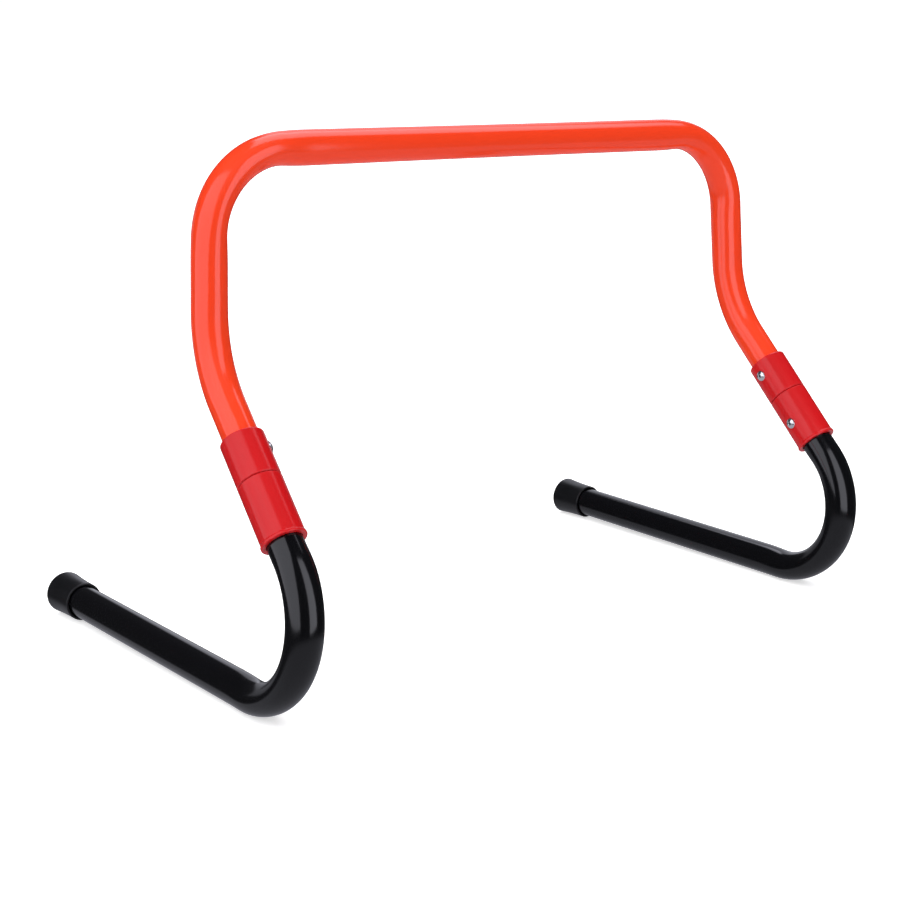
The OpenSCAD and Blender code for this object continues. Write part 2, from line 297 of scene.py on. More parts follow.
def make_piece(name, places, faces, stock, material, body, replaced, flags=None):
    """A finished piece: mesh, stock coordinates, material and body, with the parts that it replaces hidden."""
    mesh = bpy.data.meshes.new(name)
    mesh.from_pydata([tuple(p) for p in places], [], faces)
    mesh.validate()
    lay = mesh.attributes.new("stock", "FLOAT_VECTOR", "POINT")
    lay.data.foreach_set("vector", np.asarray(stock, np.float32).ravel())
    for key, values in (flags or {}).items():
        flag = mesh.attributes.new(key, "FLOAT", "POINT")
        flag.data.foreach_set("value", np.asarray(values, np.float32))
    shell = bmesh.new()
    shell.from_mesh(mesh)
    bmesh.ops.recalc_face_normals(shell, faces=shell.faces)
    shell.to_mesh(mesh)
    shell.free()
    mesh.polygons.foreach_set("use_smooth", [True] * len(mesh.polygons))
    mesh.set_sharp_from_angle(angle=SHARP)
    mesh.materials.append(material)
    piece = bpy.data.objects.new(name, mesh)
    bpy.context.scene.collection.objects.link(piece)
    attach(piece, body)
    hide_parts(*replaced)
    return piece


def bent_tube(name, line, tubes, bend_shapes, draw, material, body, replaced):
    """A hollow tube swept along a centre line, oval in its bends.

    bend_shapes has (flattening, widening, share taken from the inner side) for each bend.
    """
    around = TUBE_SIDES
    count = len(line.places)
    u, v = carried_frames(line)
    angles = np.arange(around) * (2 * math.pi / around)
    spokes = (np.cos(angles)[None, :, None] * u[:, None, :]
              + np.sin(angles)[None, :, None] * v[:, None, :])
    bent = np.zeros(count)
    outer = tubes.diameter / 2
    walls = []
    for radius in (outer, outer - tubes.wall):
        offsets = spokes * (radius * (1 - draw))[:, None, None]
        for bend, (flat, wide, inner_share) in zip(line.bends, bend_shapes):
            part = line.share_of_bend(bend, BEND_RAMP)
            axis = bend[2]
            towards_centre = np.cross(axis, line.headings)
            sideways = offsets @ axis
            inwards = np.einsum("kij,kj->ki", offsets, towards_centre)
            offsets = (offsets
                       + (part * wide)[:, None, None] * sideways[:, :, None] * axis
                       - (part * flat)[:, None, None] * inwards[:, :, None]
                       * towards_centre[:, None, :])
            moved = -(part * flat * outer * (2 * inner_share - 1))
            offsets = offsets + moved[:, None, None] * towards_centre[:, None, :]
            bent = np.maximum(bent, part)
        walls.append((line.places[:, None, :] + offsets).reshape(-1, 3))
    places = np.concatenate(walls)
    inner_first = count * around
    faces = grid_faces(count, around) + grid_faces(count, around, inner_first, flip=True)
    for row in (0, count - 1):
        for column in range(around):
            beside = (column + 1) % around
            outer_edge = [row * around + column, row * around + beside]
            inner_edge = [inner_first + i for i in reversed(outer_edge)]
            faces.append(outer_edge + inner_edge)
    stock = []
    for radius in (outer, outer - tubes.wall):
        ring = np.stack([np.cos(angles) * radius, np.sin(angles) * radius], axis=1)
        rows = np.repeat(line.along, around)
        stock.append(np.column_stack([np.tile(ring, (count, 1)), rows]))
    flags = {"bent": np.tile(np.repeat(bent, around), 2)}
    return make_piece(name, places, faces, np.concatenate(stock), material, body,
                      replaced, flags)


def rounded_profile(points, bend_step=0.12 * MM, run_step=1.5 * MM):
    """Outline of a turned part as (radius, height) pairs, from (radius, height, rounding)."""
    kept = [points[0]]
    for point in points[1:]:
        if math.dist(point[:2], kept[-1][:2]) > 1e-6:
            kept.append(point)
    corners = [(p[0], 0, p[1]) for p in kept]
    line = CentreLine(corners, [p[2] for p in kept[1:-1]], run_step, bend_step)
    return [(p[0], p[2]) for p in line.places]


def with_holding_rings(profile, reach=0.15 * MM):
    """The outline with an extra ring close to both ends of each long stretch."""
    held = [profile[0]]
    for a, b in zip(profile, profile[1:]):
        length = math.dist(a, b)
        if length > 4 * reach:
            for t in (reach / length, 1 - reach / length):
                held.append((a[0] + (b[0] - a[0]) * t, a[1] + (b[1] - a[1]) * t))
        held.append(b)
    return held


def turned_rings(profile, around):
    """Rings of a turned part about +Z. The outline closes on itself or ends on the axis."""
    closed = math.dist(profile[0], profile[-1]) < 1e-7
    rings = profile[:-1] if closed else profile
    places = []
    starts = []
    for radius, height in rings:
        starts.append(len(places))
        if radius < 1e-7:
            places.append((0.0, 0.0, height))
            continue
        for i in range(around):
            angle = 2 * math.pi * i / around
            places.append((radius * math.cos(angle), radius * math.sin(angle), height))
    pairs = list(zip(range(len(rings) - 1), range(1, len(rings))))
    if closed:
        pairs.append((len(rings) - 1, 0))
    faces = []
    for a, b in pairs:
        a_tip = rings[a][0] < 1e-7
        b_tip = rings[b][0] < 1e-7
        for i in range(around):
            j = (i + 1) % around
            low = [starts[a]] if a_tip else [starts[a] + i, starts[a] + j]
            high = [starts[b]] if b_tip else [starts[b] + j, starts[b] + i]
            faces.append(low + high)
    return places, faces


def turned_piece(name, profile, place, material, body, replaced, around=128,
                 shape=None, edge=None):
    """A turned part. shape may move its points, and edge marks its exposed corners."""
    own, faces = turned_rings(profile, around)
    own = [Vector(p) for p in own]
    shaped = [shape(p) for p in own] if shape else own
    places = [place @ p for p in shaped]
    flags = {"edge": [edge(p) for p in own]} if edge else None
    return make_piece(name, places, faces, shaped, material, body, replaced, flags)


# ---- Shared surface effects ----

class Wiring:
    """Adds nodes to a tree and joins them, from left to right."""

    def __init__(self, tree):
        self.tree = tree
        self.column = 0

    def node(self, kind, values=None, **settings):
        """A new node with its settings, and its inputs set or linked by name or number."""
        made = self.tree.nodes.new(kind)
        self.column += 1
        made.location = (self.column * 180, 0)
        for key, value in settings.items():
            setattr(made, key, value)
        self.put(made, values or {})
        return made

    def put(self, made, values):
        """Sets or links a node's inputs by name or number."""
        for key, value in values.items():
            if isinstance(value, bpy.types.NodeSocket):
                self.link(value, made.inputs[key])
            else:
                made.inputs[key].default_value = value

    def link(self, value, socket):
        """Joins a value to a socket."""
        self.tree.links.new(value, socket)

    def effect(self, name, **values):
        """One shared effect, made the first time that it is used."""
        tree = bpy.data.node_groups.get(name) or make_effect(name)
        return self.node("ShaderNodeGroup", values, node_tree=tree).outputs

    def maths(self, operation, a, b=0.0, clamp=False):
        """One sum on two values."""
        made = self.node("ShaderNodeMath", {0: a, 1: b}, operation=operation)
        made.use_clamp = clamp
        return made.outputs[0]

    def times(self, a, b):
        """Two values multiplied."""
        return self.maths("MULTIPLY", a, b)

    def plus(self, a, b):
        """Two values added."""
        return self.maths("ADD", a, b)

    def over(self, a, b):
        """One value divided by another."""
        return self.maths("DIVIDE", a, b)

    def ranged(self, value, from_low, from_high, to_low, to_high, smooth=False):
        """A value moved from one range to another."""
        kind = "SMOOTHSTEP" if smooth else "LINEAR"
        return self.node("ShaderNodeMapRange", {
            "Value": value, "From Min": from_low, "From Max": from_high,
            "To Min": to_low, "To Max": to_high}, interpolation_type=kind).outputs["Result"]

    def mixed(self, share_of_b, a, b):
        """A colour between two colours."""
        made = self.node("ShaderNodeMix", data_type="RGBA")
        self.put(made, {0: share_of_b, 6: a, 7: b})
        return made.outputs[2]

    def noise(self, vector, scale, detail=1.0, **more):
        """A smooth random value that changes over the stock."""
        values = {"Vector": vector, "Scale": scale, "Detail": detail, **more}
        return self.node("ShaderNodeTexNoise", values).outputs[0]

    def split(self, vector):
        """The three parts of a vector."""
        return self.node("ShaderNodeSeparateXYZ", {0: vector}).outputs


def make_effect(name):
    """A shared effect as a shader node group.

    Its inputs are listed with their defaults, or None for a vector or colour to be linked.
    """
    wire, inputs = EFFECTS[name]
    tree = bpy.data.node_groups.new(name, "ShaderNodeTree")
    kinds = {"Stock": "NodeSocketVector", "Colour": "NodeSocketColor"}
    for label, default in inputs.items():
        kind = kinds.get(label, "NodeSocketFloat")
        socket = tree.interface.new_socket(label, in_out="INPUT", socket_type=kind)
        if default is not None:
            socket.default_value = default
    wiring = Wiring(tree)
    results = wire(wiring, wiring.node("NodeGroupInput").outputs)
    for label in results:
        kind = kinds.get(label, "NodeSocketFloat")
        tree.interface.new_socket(label, in_out="OUTPUT", socket_type=kind)
    wiring.node("NodeGroupOutput", results)
    return tree


def drawn_lines(wiring, entry):
    """Faint lines that a die leaves along a drawn tube."""
    split = wiring.split(entry["Stock"])
    inverse_pitch = wiring.over(1.0, entry["Pitch"])
    inverse_length = wiring.over(1.0, entry["Length"])
    squeezed = wiring.node("ShaderNodeCombineXYZ", {
        0: wiring.times(split[0], inverse_pitch),
        1: wiring.times(split[1], inverse_pitch),
        2: wiring.times(split[2], inverse_length)}).outputs[0]
    fine = wiring.noise(squeezed, 1.0, 3.0, Roughness=0.6)
    broad = wiring.noise(squeezed, 0.13)
    height = wiring.plus(fine, wiring.times(broad, 2.0))
    lines = wiring.ranged(fine, 0.58, 0.72, 0.0, 1.0, smooth=True)
    return {"Height": height, "Mask": lines}


def moulded_grain(wiring, entry):
    """The fine pebbled skin that a mould leaves, over a slow waviness."""
    scale = wiring.over(1.0, entry["Size"])
    grain = wiring.noise(entry["Stock"], scale, 2.0, Roughness=0.55)
    slow = wiring.noise(entry["Stock"], wiring.times(scale, 0.035))
    waves = wiring.times(slow, entry["Waviness"])
    return {"Height": wiring.plus(grain, waves)}


def fine_scuffs(wiring, entry):
    """Sparse hair-thin rubs from handling, in two crossing directions."""
    scale = wiring.over(1.0, entry["Size"])
    rubs = []
    for turn, stretch in ((0.5, (1.0, 22.0, 0.9)), (-0.8, (18.0, 1.0, 1.3))):
        turned = wiring.node("ShaderNodeMapping", {
            "Vector": entry["Stock"], "Rotation": (0.4 * turn, turn, turn),
            "Scale": stretch}).outputs[0]
        hairs = wiring.noise(turned, scale, 2.0, Distortion=0.3)
        rubs.append(wiring.ranged(hairs, 0.66, 0.74, 0.0, 1.0, smooth=True))
    patches = wiring.noise(entry["Stock"], wiring.times(scale, 0.25))
    near = wiring.ranged(patches, 0.45, 0.7, 0.0, 1.0, smooth=True)
    both = wiring.maths("MAXIMUM", rubs[0], rubs[1])
    marked = wiring.times(wiring.times(both, near), entry["Amount"])
    return {"Mask": marked}


def tone_drift(wiring, entry):
    """Slow drift of a colour, lighter here and deeper there, with finer mottling."""
    scale = wiring.over(1.0, entry["Size"])
    slow = wiring.noise(entry["Stock"], scale, 2.0)
    fine = wiring.noise(entry["Stock"], wiring.times(scale, 30.0))
    wave = wiring.plus(wiring.times(slow, 0.75), wiring.times(fine, 0.25))
    swing = wiring.times(wiring.maths("SUBTRACT", wave, 0.5), entry["Amount"])
    lift = wiring.plus(swing, 1.0)
    toned = wiring.node("ShaderNodeHueSaturation", {
        "Color": entry["Colour"], "Hue": 0.5, "Saturation": 1.0, "Value": lift}).outputs[0]
    return {"Colour": toned}


def mould_line(wiring, entry):
    """The two hair lines where a mould's halves met, on either side of a turned part."""
    across = wiring.split(entry["Stock"])[1]
    distance = wiring.maths("ABSOLUTE", across)
    near = wiring.over(distance, entry["Width"])
    ridge = wiring.ranged(near, 0.0, 1.0, 1.0, 0.0, smooth=True)
    return {"Mask": ridge}


def turning_marks(wiring, entry):
    """Fine rings left about the axis of a turned or pressed metal part."""
    split = wiring.split(entry["Stock"])
    flat = wiring.node("ShaderNodeCombineXYZ", {0: split[0], 1: split[1]}).outputs[0]
    radius = wiring.node("ShaderNodeVectorMath", {0: flat}, operation="LENGTH").outputs["Value"]
    rings = wiring.over(radius, entry["Pitch"])
    ripple = wiring.node("ShaderNodeTexNoise", {
        "W": rings, "Scale": 1.0, "Detail": 2.0}, noise_dimensions="1D").outputs[0]
    speck = wiring.noise(entry["Stock"], 3200.0, 2.0)
    height = wiring.plus(ripple, wiring.times(speck, 0.4))
    return {"Height": height}


def edge_wear_and_highlight(wiring, entry):
    """A broken, slightly paler line along a part's exposed corners: partly edge wear, partly a painted highlight
    on the rounded corners.
    """
    patches = wiring.noise(entry["Stock"], 420.0, 3.0)
    broken = wiring.ranged(patches, 0.38, 0.62, 0.25, 1.0, smooth=True)
    rubbed_and_lit = wiring.times(entry["Edge"], broken)
    mask = wiring.maths("MULTIPLY", rubbed_and_lit, entry["Amount"], clamp=True)
    return {"Mask": mask}


def softbox(wiring, entry):
    """How brightly one panel of light shows in a direction: soft-edged, by its bearing."""
    off = wiring.maths("SUBTRACT", entry["Bearing"], entry["Centre"])
    wrapped = wiring.maths("WRAP", off, 180.0)
    wrapped.node.inputs[2].default_value = -180.0
    aside = wiring.maths("ABSOLUTE", wrapped)
    half = wiring.times(entry["Width"], 0.5)
    inside = wiring.maths("SUBTRACT", half, aside)
    above = wiring.maths("SUBTRACT", entry["Rise"], entry["Bottom"])
    below = wiring.maths("SUBTRACT", entry["Top"], entry["Rise"])
    depth = wiring.maths("MINIMUM", inside, wiring.maths("MINIMUM", above, below))
    soft = wiring.over(depth, entry["Edge"])
    shown = wiring.ranged(soft, -0.5, 0.5, 0.0, 1.0, smooth=True)
    return {"Light": wiring.times(shown, entry["Brightness"])}


EFFECTS = {
    "Drawn Lines": (drawn_lines, {"Stock": None, "Pitch": 0.5 * MM, "Length": 180 * MM}),
    "Moulded Grain": (moulded_grain, {"Stock": None, "Size": 0.4 * MM, "Waviness": 0.5}),
    "Fine Scuffs": (fine_scuffs, {"Stock": None, "Size": 6 * MM, "Amount": 0.3}),
    "Tone Drift": (tone_drift,
        {"Stock": None, "Colour": None, "Size": 60 * MM, "Amount": 0.08}),
    "Mould Line": (mould_line, {"Stock": None, "Width": 0.25 * MM}),
    "Turning Marks": (turning_marks, {"Stock": None, "Pitch": 0.12 * MM}),
    # The paler edge line is partly wear and partly a painted highlight on the corners.
    "Worn Edge": (edge_wear_and_highlight, {"Stock": None, "Edge": 0.0, "Amount": 0.3}),
    "Softbox": (softbox,
        {"Bearing": 0.0, "Rise": 0.0, "Centre": 0.0, "Width": 20.0, "Bottom": -30.0,
         "Top": 60.0, "Edge": 3.0, "Brightness": 1.0}),
}


# ---- Materials ----

class Finish(Wiring):
    """A material with its shader, and its shared effects placed by name.

    The effects follow the stock laid on the mesh, or the object's own coordinates.
    """

    def __init__(self, name, laid=True, **constants):
        self.material = bpy.data.materials.new(name)
        self.material.use_nodes = True
        tree = self.material.node_tree
        tree.nodes.clear()
        super().__init__(tree)
        self.shader = self.node("ShaderNodeBsdfPrincipled")
        self.shader.location = (2400, 0)
        for key, value in constants.items():
            self.shader.inputs[key.replace("_", " ")].default_value = value
        out = self.node("ShaderNodeOutputMaterial", {"Surface": self.shader.outputs[0]})
        out.location = (2800, 0)
        if laid:
            self.stock = self.attribute("stock", vector=True)
        else:
            self.stock = self.node("ShaderNodeTexCoord").outputs["Object"]

    def attribute(self, name, vector=False):
        """A value or vector stored on the mesh."""
        made = self.node("ShaderNodeAttribute", attribute_name=name)
        return made.outputs["Vector" if vector else "Fac"]

    def effect(self, name, **values):
        """One shared effect, laid on the stock."""
        return super().effect(name, Stock=self.stock, **values)

    def toned(self, tone, reach, amount):
        """A colour that drifts slowly over the stock."""
        return self.effect("Tone Drift", Colour=(*tone[:3], 1.0), Size=reach,
                           Amount=amount)["Colour"]

    def feed(self, socket, value):
        """Links a value that changes over the surface to one of the shader's sockets."""
        self.link(value, self.shader.inputs[socket])

    def bump(self, height, distance, strength=1.0, under=None):
        """A bump from a height, laid over another bump if one is given."""
        values = {"Height": height, "Distance": distance, "Strength": strength}
        if under is not None:
            values["Normal"] = under
        return self.node("ShaderNodeBump", values).outputs[0]


def tube_plastic(name, tone, roughness, drift):
    """Glossy drawn plastic tube, a little duller and wavier where it was bent."""
    finish = Finish(name, Specular_IOR_Level=0.5, IOR=1.5)
    bent = finish.attribute("bent")
    lines = finish.effect("Drawn Lines", Pitch=0.55 * MM)
    scuffs = finish.effect("Fine Scuffs", Size=7 * MM, Amount=0.5)
    grain = finish.effect("Moulded Grain", Size=1.6 * MM, Waviness=1.0)
    finish.feed("Base Color", finish.toned(tone, 70 * MM, drift))
    duller = finish.times(scuffs["Mask"], 0.16)
    lined = finish.times(lines["Mask"], 0.03)
    strained = finish.times(bent, 0.02)
    rough = finish.plus(finish.plus(duller, lined), strained)
    finish.feed("Roughness", finish.plus(rough, roughness))
    drawn = finish.bump(lines["Height"], 0.0012 * MM)
    finish.feed("Normal", finish.bump(grain["Height"], 0.010 * MM, under=drawn))
    return finish.material


def moulded_plastic(name, tone, roughness):
    """Satin moulded plastic with a fine skin, mould lines, and paler edges that are partly rubbed wear and partly
    a painted highlight.
    """
    finish = Finish(name, Specular_IOR_Level=0.3, IOR=1.5)
    edge = finish.attribute("edge")
    grain = finish.effect("Moulded Grain", Size=0.35 * MM, Waviness=1.6)
    scuffs = finish.effect("Fine Scuffs", Size=5 * MM, Amount=0.6)
    mould = finish.effect("Mould Line", Width=0.3 * MM)
    wear_and_highlight = finish.effect("Worn Edge", Edge=edge, Amount=0.35)
    toned = finish.toned(tone, 18 * MM, 0.12)
    # Paler red on the seam's and rims' corners: partly edge wear, partly a painted highlight.
    paler = finish.mixed(wear_and_highlight["Mask"], toned, (0.80, 0.06, 0.07, 1.0))
    finish.feed("Base Color", paler)
    rough = finish.plus(finish.times(scuffs["Mask"], 0.14), roughness)
    finish.feed("Roughness", rough)
    skin = finish.bump(grain["Height"], 0.012 * MM)
    finish.feed("Normal", finish.bump(mould["Mask"], 0.05 * MM, under=skin))
    return finish.material


def cap_rubber(name, tone, roughness):
    """Satin rubber with an open grain, a bloom of paler patches, and paler edges that are partly rubbed wear and
    partly a painted highlight.
    """
    finish = Finish(name, Specular_IOR_Level=0.42, IOR=1.5)
    edge = finish.attribute("edge")
    grain = finish.effect("Moulded Grain", Size=0.5 * MM, Waviness=0.8)
    scuffs = finish.effect("Fine Scuffs", Size=8 * MM, Amount=0.8)
    wear_and_highlight = finish.effect("Worn Edge", Edge=edge, Amount=0.5)
    toned = finish.toned(tone, 14 * MM, 0.5)
    # Paler black on the base's and rim's corners: partly rubbed wear, partly a painted highlight.
    rubbed_and_lit = finish.mixed(wear_and_highlight["Mask"], toned, (0.016, 0.016, 0.018, 1.0))
    bloom = finish.mixed(scuffs["Mask"], rubbed_and_lit, (0.011, 0.011, 0.012, 1.0))
    finish.feed("Base Color", bloom)
    swing = finish.ranged(grain["Height"], 0.6, 1.2, -0.05, 0.08)
    finish.feed("Roughness", finish.plus(swing, roughness))
    finish.feed("Normal", finish.bump(grain["Height"], 0.03 * MM))
    return finish.material


def bright_metal(name, tone, roughness, laid=True):
    """Bare or plated metal with fine turning marks and duller specks."""
    finish = Finish(name, laid, Metallic=1.0)
    marks = finish.effect("Turning Marks", Pitch=0.14 * MM)
    scuffs = finish.effect("Fine Scuffs", Size=1.6 * MM, Amount=0.8)
    finish.feed("Base Color", finish.toned(tone, 3 * MM, 0.10))
    rough = finish.plus(finish.times(scuffs["Mask"], 0.2), roughness)
    finish.feed("Roughness", rough)
    finish.feed("Normal", finish.bump(marks["Height"], 0.006 * MM))
    return finish.material


def washer_nylon(name, tone):
    """Natural nylon, matte and a little mottled."""
    finish = Finish(name, laid=False, Specular_IOR_Level=0.45)
    grain = finish.effect("Moulded Grain", Size=0.4 * MM, Waviness=0.8)
    finish.feed("Base Color", finish.toned(tone, 5 * MM, 0.1))
    finish.feed("Roughness", finish.ranged(grain["Height"], 0.4, 1.2, 0.42, 0.58))
    finish.feed("Normal", finish.bump(grain["Height"], 0.02 * MM))
    return finish.material


# ---- Shapes of the turned parts, in metres, in each part's own frame ----

FIT = 0.05 * MM
SEAM_HALF = 0.2 * MM
UPPER_FLOOR = 6.2 * MM
LOWER_FLOOR = 5.2 * MM
BOLT_HOLE = 3.05 * MM
TUBE_GAP = 0.3 * MM
CAP_FLOOR = 4 * MM


def socket_radius(scene):
    """Outer radius of the sockets."""
    return scene.hurdle_tubes.diameter / 2 + FIT + scene.hurdle_fittings.socket_wall


def socket_outline(scene, length, floor, rim_round, bead, rim_slope):
    """Half a socket from its seam at zero to its rim, closed on itself."""
    outer = socket_radius(scene)
    seat = scene.hurdle_tubes.diameter / 2 + FIT
    lip = 1.7 * MM
    mouth = 0.3 * MM
    bevel = 0.6 * MM
    soft = 0.16 * MM
    outline = rounded_profile([
        (BOLT_HOLE, SEAM_HALF + 0.3 * MM, 0),
        (BOLT_HOLE + 0.3 * MM, SEAM_HALF, 0),
        (outer - bevel, SEAM_HALF, soft),
        (outer, SEAM_HALF + bevel, soft),
        (outer, length - lip - rim_slope, 4 * soft if bead else 0),
        (outer + bead, length - lip, 2 * soft if bead else 0),
        (outer + bead, length, rim_round),
        (seat + mouth, length, soft),
        (seat, length - 1.4 * mouth, soft),
        (seat, floor, soft),
        (BOLT_HOLE, floor, 0),
        (BOLT_HOLE, SEAM_HALF + 0.3 * MM, 0),
    ])
    return with_holding_rings(outline)


def cap_outline(scene):
    """A cap from its ringed base to its open rim, closed on the axis at both ends."""
    fittings = scene.hurdle_fittings
    base = fittings.cap_base / 2
    rim = fittings.cap_rim / 2
    length = fittings.cap_length
    seat = scene.hurdle_tubes.diameter / 2 + FIT
    flare = length * 0.95
    swell = base - rim
    flare_r = (flare * flare + swell * swell) / (2 * swell)
    sunk = 0.5 * MM
    soft = 0.12 * MM
    points = [(0, sunk, 0)]
    for middle in (base * 0.36, base * 0.62):
        for reach, depth in ((-1.1, sunk), (-0.7, 0), (0.7, 0), (1.1, sunk)):
            points.append((middle + reach * MM, depth, soft))
    points.append((base - 2.4 * MM, sunk, soft))
    points.append((base - 2.0 * MM, 0, soft))
    points.append((base, 0, 0.9 * MM))
    steps = 7
    for i in range(1, steps + 1):
        height = flare * i / steps
        outwards = flare_r - math.sqrt(flare_r ** 2 - (flare - height) ** 2)
        points.append((rim + outwards, height, 1.2 * MM))
    points.append((rim, length, 0.6 * MM))
    points.append((seat + 0.7 * MM, length, 0.35 * MM))
    points.append((seat, length - 1.6 * MM, 0.2 * MM))
    points.append((seat, CAP_FLOOR, 0.1 * MM))
    points.append((0, CAP_FLOOR, 0))
    return with_holding_rings(rounded_profile(points))


RIVET_BORE = 1.12 * MM
RIVET_SHANK = 2 * MM
PIN_RADIUS = 1.08 * MM
PIN_HEAD = 1.7 * MM


def bulb_height(scene):
    """Where a rivet's set bulb lies under the tube's wall, from the tube's axis."""
    return scene.hurdle_tubes.diameter / 2 - scene.hurdle_tubes.wall - 1.8 * MM


def rivet_outline(scene):
    """A blind rivet with a domed head and its set bulb, bored for the mandrel."""
    head = scene.hurdle_fittings.rivet_head / 2
    surface = socket_radius(scene)
    bore = RIVET_BORE
    rim = 0.45 * MM
    rise = 1.35 * MM
    crown = surface + rim + rise
    crown_r = (head ** 2 + rise ** 2) / (2 * rise)
    bulb = bulb_height(scene)
    inner_end = bulb - 1.2 * MM
    skirt = surface - 0.9 * MM
    points = [
        (bore, inner_end, 0),
        (2.4 * MM, bulb - 1.5 * MM, 0.4 * MM),
        (3.1 * MM, bulb, 0.8 * MM),
        (2.6 * MM, bulb + 1.3 * MM, 0.4 * MM),
        (RIVET_SHANK, bulb + 1.6 * MM, 0.3 * MM),
        (RIVET_SHANK, skirt, 0),
        (head - 0.15 * MM, skirt, 0.06 * MM),
        (head, surface + rim * 0.5, 0.12 * MM),
    ]
    steps = 9
    for i in range(1, steps):
        across = head * (1 - i / steps)
        if across < bore + 0.5 * MM:
            break
        rise_here = crown - crown_r + math.sqrt(crown_r ** 2 - across ** 2)
        points.append((across, rise_here, 0.5 * MM))
    points.append((bore + 0.32 * MM, crown - 0.10 * MM, 0.25 * MM))
    points.append((bore, crown - 0.42 * MM, 0.15 * MM))
    points.append((bore, inner_end, 0))
    return with_holding_rings(rounded_profile(points, 0.08 * MM, 0.8 * MM), 0.06 * MM)


def mandrel_outline(scene):
    """The pin that stays in a rivet: its head behind the bulb and its broken end."""
    surface = socket_radius(scene)
    bulb = bulb_height(scene)
    end = surface + 1.15 * MM
    tail = bulb - 3.1 * MM
    points = [
        (0, tail, 0),
        (PIN_HEAD, tail, 0.4 * MM),
        (PIN_HEAD, tail + 1.5 * MM, 0.3 * MM),
        (PIN_RADIUS, tail + 1.5 * MM, 0),
        (PIN_RADIUS, end - 0.25 * MM, 0.1 * MM),
        (0.75 * MM, end, 0.1 * MM),
        (0.4 * MM, end - 0.05 * MM, 0.1 * MM),
        (0, end, 0),
    ]
    return with_holding_rings(rounded_profile(points, 0.06 * MM, 0.5 * MM), 0.06 * MM)


def body_of(side, half):
    """The upper half of a socket stays on the hoop, and the lower half turns."""
    return "frame" if half == "upper" else side + "_foot"


def rivet_place(height, turn):
    """A rivet's frame in its socket's frame: +Z out of the wall, turned to the front."""
    return (Matrix.Translation((0, 0, height)) @ Matrix.Rotation(math.pi + turn, 4, "Z")
            @ Matrix.Rotation(math.pi / 2, 4, "Y"))


# ---- Operators ----

class HURDLE_OT_hoop(bpy.types.Operator):
    """Bends one orange tube into the bar, two corners, two arms and two knees"""
    bl_idname = "hurdle.hoop"
    bl_label = "Bend the Hoop"
    bl_options = {"REGISTER"}

    def execute(self, context):
        scene = context.scene
        tubes = scene.hurdle_tubes
        fittings = scene.hurdle_fittings
        finishes = scene.hurdle_finishes
        place = right_socket_place()
        to_knee = (fittings.upper_length + tubes.shin
                   + tubes.knee_radius * math.tan(tubes.knee_turn / 2))
        bar = mount("bar_clip_zone")[0]
        right = [bar + Vector((tubes.hoop_width / 2, 0, 0)),
                 place @ Vector((0, 0, to_knee)),
                 place @ Vector((0, 0, UPPER_FLOOR + TUBE_GAP))]
        left = [MIRROR @ p for p in reversed(right)]
        radii = [tubes.knee_radius, tubes.corner_radius]
        line = CentreLine(left + right, radii + radii[::-1], RUN_STEP, BEND_STEP)
        knee = (tubes.knee_flat, tubes.knee_wide, 0.5)
        corner = (tubes.corner_flat, tubes.corner_wide, 0.5)
        from_middle = np.abs(line.places[:, 0]) / (tubes.hoop_width / 2 - tubes.corner_radius)
        on_bar = np.clip(1.15 - from_middle, 0, 1)
        draw = tubes.bar_draw * on_bar * on_bar * (3 - 2 * on_bar)
        material = tube_plastic("hoop_plastic", finishes.hoop, finishes.tube_gloss,
                                0.05)
        bent_tube("hoop", line, tubes, [knee, corner, corner, knee], draw, material,
                  "frame", ["hoop_tube"])
        return {"FINISHED"}


class HURDLE_OT_feet(bpy.types.Operator):
    """Bends the two black tubes into hooked feet"""
    bl_idname = "hurdle.feet"
    bl_label = "Bend the Feet"
    bl_options = {"REGISTER"}

    def execute(self, context):
        scene = context.scene
        tubes = scene.hurdle_tubes
        finishes = scene.hurdle_finishes
        socket = right_socket_place()
        cap = right_cap_place()
        down = -socket.to_3x3().col[2]
        along = cap.to_3x3().col[2]
        hook = crossing(socket.translation, down, cap.translation, along)
        top = socket @ Vector((0, 0, -LOWER_FLOOR - TUBE_GAP))
        end = cap @ Vector((0, 0, CAP_FLOOR))
        material = tube_plastic("foot_plastic", finishes.foot, finishes.tube_gloss,
                                0.3)
        for side in SIDES:
            corners = [on_side(side, p) for p in (top, hook, end)]
            line = CentreLine(corners, [tubes.hook_radius], RUN_STEP, BEND_STEP)
            bend = (tubes.hook_flat, tubes.hook_wide, 1.0)
            bent_tube(side + "_foot", line, tubes, [bend], np.zeros(len(line.places)),
                      material, side + "_foot", [side + "_foot_tube"])
        return {"FINISHED"}


